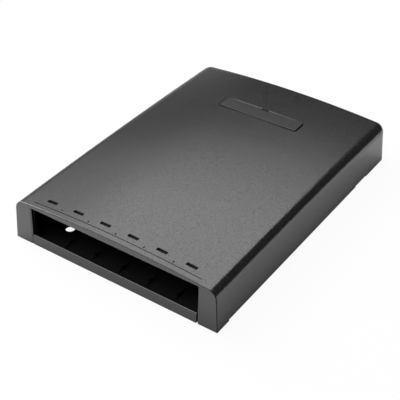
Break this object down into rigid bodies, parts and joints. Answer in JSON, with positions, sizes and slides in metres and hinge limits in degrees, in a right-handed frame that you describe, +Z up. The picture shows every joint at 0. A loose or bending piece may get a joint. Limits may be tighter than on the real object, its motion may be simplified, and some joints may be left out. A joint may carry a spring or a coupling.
{
  "type": "surface mount jack box housing",
  "caption": "Low moulded box with a crowned lift-off cover, a row of open jack bays along its front and screw holes in its base.",
  "frame": {"origin": "on the surface the box stands on, under the middle of the box", "axes": "+Z up out of the base, +Y along the box's length from the jack opening to the rear, +X to the right seen from the jack opening"},
  "size_m": [0.12, 0.1673, 0.026],
  "materials": {
    "cover_plastic": "fine spark-eroded grain, black",
    "base_plastic": "satin, black",
    "plate_plastic": "satin, black",
    "foam_tape": "matt foam"
  },
  "bodies": {
    "base": {"base": "base_plastic", "tape_pad_left": "foam_tape", "tape_pad_right": "foam_tape"},
    "cover": {"cover": "cover_plastic"},
    "plate": {"blank_plate": "plate_plastic"}
  },
  "joints": [
    {"name": "cover_lift", "type": "slide", "parent": "base", "child": "cover", "axis": [0, 0, 1], "range_m": [0, 0.03]},
    {"name": "plate_lift", "type": "slide", "parent": "cover", "child": "plate", "axis": [0, 0, 1], "range_m": [0, 0.006]}
  ]
}
